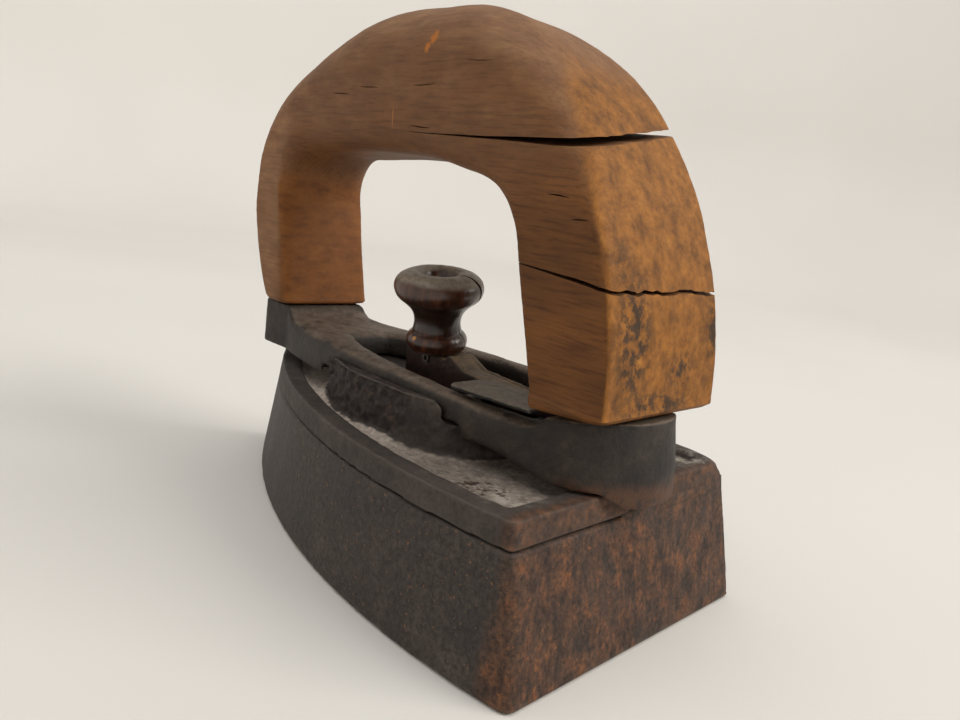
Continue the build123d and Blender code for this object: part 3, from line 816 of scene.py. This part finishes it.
def knob_piece(material):
    rings, turns = 170, 200
    profile = smooth_line(KNOB_PROFILE, rings)
    points = []
    for radius, height in profile:
        for k in range(turns):
            angle = 2 * math.pi * k / turns
            points.append((radius * math.cos(angle), radius * math.sin(angle), height))
    points = np.array(points) * MM
    # The last ring joins the first down the bore, so that the knob is a closed solid.
    faces = []
    for i in range(rings):
        below, above = i * turns, ((i + 1) % rings) * turns
        for k in range(turns):
            after = (k + 1) % turns
            faces.append((below + k, below + after, above + after, above + k))
    piece = new_piece("knob_turning", points, faces)
    radial = np.hypot(points[:, 0], points[:, 1])
    angle = np.arctan2(points[:, 1], points[:, 0])
    # Flats and dents of age, none outside the turned form.
    wobble = (noise(points, 7 * MM, 41, 2) + 1) * 0.16 * MM
    fibres = (noise(points, (1.2 * MM, 1.2 * MM, 7 * MM), 42, 2) + 1) * 0.06 * MM
    sink(piece, (wobble + fibres) * ease(radial, 2.2 * MM, 4 * MM))
    # A split from the hole to the rim and down the neck, on the rear right.
    heading = math.radians(203)
    lower = [(1.2, -0.02), (7.4, -0.16), (12.4, -0.42), (12.4, 0.42), (7.4, 0.16), (1.2, 0.02)]
    split = []
    levels = [(-1.0, 0.5), (4.0, 1.1), (9.0, 0.35), (15.0, 1.2), (23.0, 1.6)]
    for height, wide in levels:
        drift = 0.5 * math.sin(height * 0.45)
        for along, across in lower:
            split.append((along, across * wide + drift * (along / 12), height))
    count = len(lower)
    last = (len(levels) - 1) * count
    split_faces = [tuple(range(count))[::-1], tuple(range(last, last + count))]
    for level in range(len(levels) - 1):
        for k in range(count):
            after = (k + 1) % count
            low, high = level * count, (level + 1) * count
            split_faces.append((low + k, low + after, high + after, high + k))
    cutter = new_piece("cutter", np.array(split) * MM, split_faces)
    cutter.data.transform(Matrix.Rotation(heading, 4, "Z"))
    carve(piece, cutter)
    knob_turn = Matrix.Rotation(-KNOB_LEFT_LEAN, 4, "X") @ Matrix.Rotation(-KNOB_REAR_LEAN, 4, "Y")
    piece.data.transform(Matrix.Translation(KNOB_BASE) @ knob_turn)
    shade(piece, 40)
    dress(piece, "latch", "knob_wood", material, "knob")


# ---------------------------------------------------------------- the wooden handle
def arc(start, through, end, count=60):
    """Points along the circle through three points."""
    (ax, az), (bx, bz), (cx, cz) = start, through, end
    d = 2 * (ax * (bz - cz) + bx * (cz - az) + cx * (az - bz))
    a2, b2, c2 = ax * ax + az * az, bx * bx + bz * bz, cx * cx + cz * cz
    ux = (a2 * (bz - cz) + b2 * (cz - az) + c2 * (az - bz)) / d
    uz = (a2 * (cx - bx) + b2 * (ax - cx) + c2 * (bx - ax)) / d
    radius = math.hypot(ax - ux, az - uz)
    angles = [math.atan2(pz - uz, px - ux) for px, pz in (start, through, end)]
    while angles[1] > angles[0]:
        angles[1] -= 2 * math.pi
    while angles[2] > angles[1]:
        angles[2] -= 2 * math.pi
    if angles[0] - angles[2] > 2 * math.pi:
        raise ValueError("the arcs of the handle run clockwise, from the rear leg over the crown")
    sweep = np.linspace(angles[0], angles[2], count)
    return np.stack([ux + radius * np.cos(sweep), uz + radius * np.sin(sweep)], axis=1)


OUTER = [
    arc((-71.3, 50.8), (-64.0, 86.8), (-46.0, 115.4)),
    arc((-46.0, 115.4), (-24.0, 130.0), (4.0, 134.5)),
    arc((4.0, 134.5), (34.0, 130.8), (55.0, 119.5)),
    np.vstack([
        arc((55.0, 119.5), (68.0, 106.3), (73.4, 90.0)),
        arc((73.4, 90.0), (70.8, 69.0), (62.5, 50.8))[1:],
    ]),
]
INNER_LINE = np.vstack([
    np.linspace((-52.4, 49.0), (-43.2, 77.0), 60),
    arc((-43.2, 77.0), (-37.0, 88.7), (-26.0, 94.0))[1:],
    arc((-26.0, 94.0), (8.0, 97.2), (41.0, 95.8))[1:],
    arc((41.0, 95.8), (52.6, 91.6), (56.6, 82.0))[1:],
    np.linspace((56.6, 82.0), (49.0, 50.8), 60)[1:],
])
# Where the inner line meets each joint between the outer runs.
INNER_MEETS = [(-52.4, 49.0), (-37.0, 88.7), (8.0, 97.2), (52.6, 91.6), (49.0, 50.8)]
STATIONS = [92, 70, 70, 96]
# Rounding of the three kinds of long edge, from the foot of the rear leg (0) over the crown
# (2) to the foot of the front leg (4), in millimetres.
LEFT_ROUND = [
    (0, 1.4), (0.3, 2.4), (0.6, 5), (1, 10), (1.5, 15), (2, 18), (2.7, 17), (3.1, 10), (3.4, 5), (4, 4),
]
RIGHT_ROUND = [(0, 1.4), (0.3, 2.4), (0.6, 3.5), (1, 5), (1.5, 8), (2, 12), (3, 12), (3.4, 7), (4, 4)]
INNER_ROUND = [(0, 1.2), (0.45, 1.6), (0.75, 2.4), (1, 4), (1.5, 7), (2, 9), (3, 9), (3.4, 5), (4, 3)]
END_ROUND = (1.2, 2.2)


def ring_shape(wide, deep, left_round, right_round, inner_round):
    """A rounded rectangle of those half-sizes as (across, out) points, always as many."""
    most = 0.96 * min(wide, deep)
    left, right, ri = (min(radius, most) for radius in (left_round, right_round, inner_round))
    points = []

    def run(start, end, count):
        points.extend(np.linspace(start, end, count, endpoint=False))

    def corner(centre, radius, begin_deg, count=15):
        for k in range(count):
            angle = math.radians(begin_deg - 90 * k / count)
            points.append((centre[0] + radius * math.cos(angle), centre[1] + radius * math.sin(angle)))

    run((-(wide - right), deep), (wide - left, deep), 22)
    corner((wide - left, deep - left), left, 90)
    run((wide, deep - left), (wide, -(deep - ri)), 26)
    corner((wide - ri, -(deep - ri)), ri, 0)
    run((wide - ri, -deep), (-(wide - ri), -deep), 22)
    corner((-(wide - ri), -(deep - ri)), ri, -90)
    run((-wide, -(deep - ri)), (-wide, deep - right), 26)
    corner((-(wide - right), deep - right), right, -180)
    return np.array(points)


def grip_half_width(x):
    """Half the handle's thickness: full over the rear leg, then tapering to the front."""
    return np.interp(x, [-76, -50, 76], [21.2, 21.2, 15.0])


def grip_blank():
    """The whole half-moon handle before its cracks, as an even grid mesh."""
    cuts = [int(np.argmin(np.linalg.norm(INNER_LINE - np.array(p), axis=1))) for p in INNER_MEETS]
    outer, inner, progress = [], [], []
    for k, count in enumerate(STATIONS):
        outer.append(resample(OUTER[k], count + 1)[:-1])
        inner.append(resample(INNER_LINE[cuts[k] : cuts[k + 1] + 1], count + 1)[:-1])
        progress.append(k + np.linspace(0, 1, count + 1)[:-1])
    outer = np.vstack([*outer, OUTER[-1][-1:]])
    inner = np.vstack([*inner, INNER_LINE[-1:]])
    progress = np.concatenate([*progress, [4.0]])
    # Even out the change of pace where two runs meet.
    for line in (outer, inner):
        for _ in range(30):
            line[1:-1] = 0.5 * line[1:-1] + 0.25 * (line[:-2] + line[2:])
    rings = []
    edges = (LEFT_ROUND, RIGHT_ROUND, INNER_ROUND)
    lengths = np.concatenate([[0], np.cumsum(np.linalg.norm(np.diff((outer + inner) / 2, axis=0), axis=1))])
    for k in range(len(outer)):
        centre = (outer[k] + inner[k]) / 2
        reach = (outer[k] - inner[k]) / 2
        half_depth = np.linalg.norm(reach)
        half_width = grip_half_width(centre[0])
        inset = 0.0
        for from_end, radius in ((lengths[k], END_ROUND[0]), (lengths[-1] - lengths[k], END_ROUND[1])):
            if from_end < radius:
                inset = radius - math.sqrt(radius**2 - (radius - from_end) ** 2)
        shape = ring_shape(
            half_width - inset,
            half_depth - inset,
            *(max(np.interp(progress[k], *np.array(edge).T), inset + 1) for edge in edges),
        )
        outward = reach / half_depth
        ring_x = centre[0] + outward[0] * shape[:, 1]
        ring_z = centre[1] + outward[1] * shape[:, 1]
        rings.append(np.stack([ring_x, shape[:, 0], ring_z], axis=1))
    around = len(rings[0])
    points = np.vstack(rings) * MM
    faces = []
    for i in range(len(rings) - 1):
        for k in range(around):
            after = (k + 1) % around
            a, b = i * around, (i + 1) * around
            faces.append((a + k, b + k, b + after, a + after))
    faces.append(tuple(range(around)))
    faces.append(tuple(range(len(points) - around, len(points)))[::-1])
    piece = new_piece("grip_blank", points, faces)
    face_outward(piece)
    x, y, z = points.T
    clear_of_foot = ease(z, 50.9 * MM, 53 * MM)
    hand_worn = (noise(points, 16 * MM, 51, 2) + 1) * 0.35 * MM
    fibres = (noise(points, (9 * MM, 0.9 * MM, 0.9 * MM), 52, 2) + 1) * 0.07 * MM
    rear = ease(x, -52 * MM, -60 * MM) * ease(np.abs(y), 21 * MM, 18 * MM)
    hacked = (noise(points, 3.2 * MM, 53, 3) + 1) * 0.28 * MM * rear
    sink(piece, clear_of_foot * (hand_worn + fibres + hacked))
    return piece


def upper_split(x, y):
    """Middle height of the upper crack, which drops toward the left side."""
    places = np.stack([x, y, np.zeros_like(x)], axis=1)
    jagged = noise(places, (5 * MM, 4 * MM, 1), 61, 3) * 0.5 * MM * ease(x, -0.045, -0.056)
    wave = noise(places, (18 * MM, 15 * MM, 1), 62) * 0.35 * MM
    return 102.1 * MM + (20 * MM - y) * 0.19 + wave + jagged


def upper_opening(x):
    """Half the width of the upper crack, from its tip to the back."""
    stations = [-0.072, -0.058, -0.048, -0.03, -0.012, 0.003]
    return np.interp(x, stations, [0.95, 0.95, 0.75, 0.3, 0.12, 0.01]) * MM


def lower_split(x, y):
    """Middle height of the crack right through the rear leg."""
    places = np.stack([x, y, np.zeros_like(x)], axis=1)
    jagged = noise(places, (4 * MM, 3 * MM, 1), 64, 3) * 1.1 * MM * ease(x, -0.062, -0.068)
    wave = noise(places, (9 * MM, 9 * MM, 1), 65, 2) * 0.25 * MM
    return 76.0 * MM + (x + 66.7 * MM) * 0.078 + wave + jagged


def wooden_pieces(material):
    grip = grip_blank()
    grip.name = "grip_crown"
    spread = ((-0.080, 0.004), (-0.028, 0.028))
    opening = slab(
        *spread,
        lambda x, y: upper_split(x, y) - upper_opening(x),
        lambda x, y: upper_split(x, y) + upper_opening(x),
        0.8 * MM,
    )
    carve(grip, opening)
    carve(grip, checks())
    low = grip.copy()
    low.data = grip.data.copy()
    low.name = "grip_rear_foot"
    bpy.context.scene.collection.objects.link(low)
    leg = ((-0.080, -0.030), (-0.028, 0.028))

    def floor_height(x, y):
        return np.full_like(x, 0.045)

    def half_gap(x):
        return np.interp(x, [-0.07, -0.06, -0.043], [0.35, 0.4, 0.1]) * MM

    carve(grip, slab(*leg, floor_height, lambda x, y: lower_split(x, y) + half_gap(x), 0.7 * MM))
    lower_side = slab(*leg, floor_height, lambda x, y: lower_split(x, y) - half_gap(x), 0.7 * MM)
    carve(low, lower_side, "INTERSECT")
    for piece, node in ((grip, "wooden_grip"), (low, "grip_rear_block")):
        shade(piece, 38)
        dress(piece, "handle", "grip_wood", material, node)


# Short drying checks on the left of the crown: middle (x, z), length along X and slope.
CHECKS = [
    (29, 111.0, 9, 0.05), (16, 112.6, 8, 0.05), (-6, 113.0, 9, -0.02), (-24, 118.0, 9, 0.0),
    (-6, 103.6, 8, 0.02), (-52, 92.0, 6, 0.0), (30, 101.0, 5, 0.3), (-58, 88.0, 4, 0.0),
]


def checks():
    """Thin lens-shaped cutters for the drying checks."""
    points, faces = [], []
    steps = 9
    for number, (x, z, length, slope) in enumerate(CHECKS):
        first = len(points)
        for k in range(steps):
            along = k / (steps - 1)
            thick = 0.02 + 0.16 * math.sin(math.pi * along)
            wave = 0.1 * math.sin(4.1 * along + number)
            px = x + (along - 0.5) * length
            pz = z + slope * (along - 0.5) * length + wave
            half_width = float(grip_half_width(px))
            inner, outer = half_width - 2.2, half_width + 1.0
            points += [(px, inner, pz), (px, outer, pz - 1.4 * thick), (px, outer, pz + 1.4 * thick)]
        for k in range(steps - 1):
            a, b = first + 3 * k, first + 3 * (k + 1)
            for side in range(3):
                after = (side + 1) % 3
                faces.append((a + side, b + side, b + after, a + after))
        faces.append((first, first + 1, first + 2))
        last = first + 3 * (steps - 1)
        faces.append((last, last + 2, last + 1))
    cutter = new_piece("cutter", np.array(points) * MM, faces)
    face_outward(cutter)
    return cutter


# ---------------------------------------------------------------- floor, light and camera
def floor_and_light():
    paint = Paint("pale_floor")
    colour = paint.ramp(paint.noise(0.3, 2), (0.3, (224, 221, 217)), (0.7, (228, 225, 221)))
    material = paint.finish(colour, None, roughness=0.7)
    # A round table top that curves up into a low wall all round.
    flat_radius, bend_radius, wall_height = 0.9, 0.25, 0.62
    outline = [(0.0, 0.0), (flat_radius, 0.0)]
    for a in np.linspace(0.1, math.pi / 2, 12):
        outline.append((flat_radius + bend_radius * math.sin(a), bend_radius - bend_radius * math.cos(a)))
    outline.append((flat_radius + bend_radius, wall_height))
    turns = 96
    points = [(0, 0, 0)]
    faces = []
    for radius, height in outline[1:]:
        for k in range(turns):
            angle = 2 * math.pi * k / turns
            points.append((radius * math.cos(angle), radius * math.sin(angle), height))
    for k in range(turns):
        after = (k + 1) % turns
        faces.append((0, 1 + k, 1 + after))
        for ring in range(len(outline) - 2):
            low, high = 1 + ring * turns, 1 + (ring + 1) * turns
            faces.append((low + k, high + k, high + after, low + after))
    floor = new_piece("backdrop", points, faces)
    floor.data.materials.append(material)
    shade(floor)

    world = bpy.data.worlds.new("pale_room")
    world.use_nodes = True
    background = world.node_tree.nodes["Background"]
    background.inputs["Color"].default_value = tint(228, 226, 220)
    background.inputs["Strength"].default_value = 0.62
    bpy.context.scene.world = world

    def window(name, place, target, size, power, colour):
        light = bpy.data.lights.new(name, "AREA")
        light.shape = "RECTANGLE"
        light.size, light.size_y = size
        light.energy = power
        light.color = colour
        lamp = bpy.data.objects.new(name, light)
        lamp.location = place
        lamp.rotation_euler = (Vector(target) - Vector(place)).to_track_quat("-Z", "Y").to_euler()
        bpy.context.scene.collection.objects.link(lamp)

    window("window_rear", (-1.3, -0.75, 1.0), (0, 0, 0.06), (1.2, 1.0), 26, (1.0, 0.965, 0.91))
    window("ceiling", (0.1, 0.2, 1.8), (0, 0, 0), (1.6, 1.6), 10, (1.0, 0.99, 0.98))


def camera():
    """The camera stands close behind the left rear corner, slightly above the handle's middle."""
    yaw, pitch, roll = (math.radians(a) for a in (-46.4, 11.8, 7.8))
    ahead = Vector((math.cos(pitch) * math.cos(yaw), math.cos(pitch) * math.sin(yaw), -math.sin(pitch)))
    level = ahead.cross(Vector((0, 0, 1))).normalized()
    upward = level.cross(ahead)
    right = level * math.cos(roll) + upward * math.sin(roll)
    above = upward * math.cos(roll) - level * math.sin(roll)
    data = bpy.data.cameras.new("camera")
    data.sensor_width = 36.0
    data.lens = 29.46
    data.shift_x = 0.0055
    data.clip_start = 0.01
    seen = bpy.data.objects.new("camera", data)
    turn = Matrix((right, above, -ahead)).transposed().to_4x4()
    seen.matrix_world = Matrix.Translation((-0.1508, 0.1416, 0.0901)) @ turn
    bpy.context.scene.collection.objects.link(seen)
    bpy.context.scene.camera = seen


# ---------------------------------------------------------------- build
camera()
floor_and_light()
bpy.context.scene.view_settings.view_transform = "Standard"

sole_casting(sole_iron())
cap_casting(cap_iron())
joint_crust(bpy.data.materials["sole_iron"])
bridge_casting(bridge_iron())
lever_casting(lever_iron())
leaf_piece(leaf_steel())
knob_piece(knob_wood())
wooden_pieces(grip_wood())

plain = {
    "insulating_filler": plaster(),
    "cap_rivets": dark_steel(),
    "catch_bar": dark_steel(),
    "latch_pivot_pin": dark_steel(),
    "knob_stem": dark_steel(),
    "knob_stem_pin": bright_ring(),
    "rear_grip_screw": dark_steel(),
    "front_grip_screw": dark_steel(),
    "screw_washers": dark_steel(),
}
for node, material in plain.items():
    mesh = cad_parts[node].data
    mesh.materials.clear()
    mesh.materials.append(material)
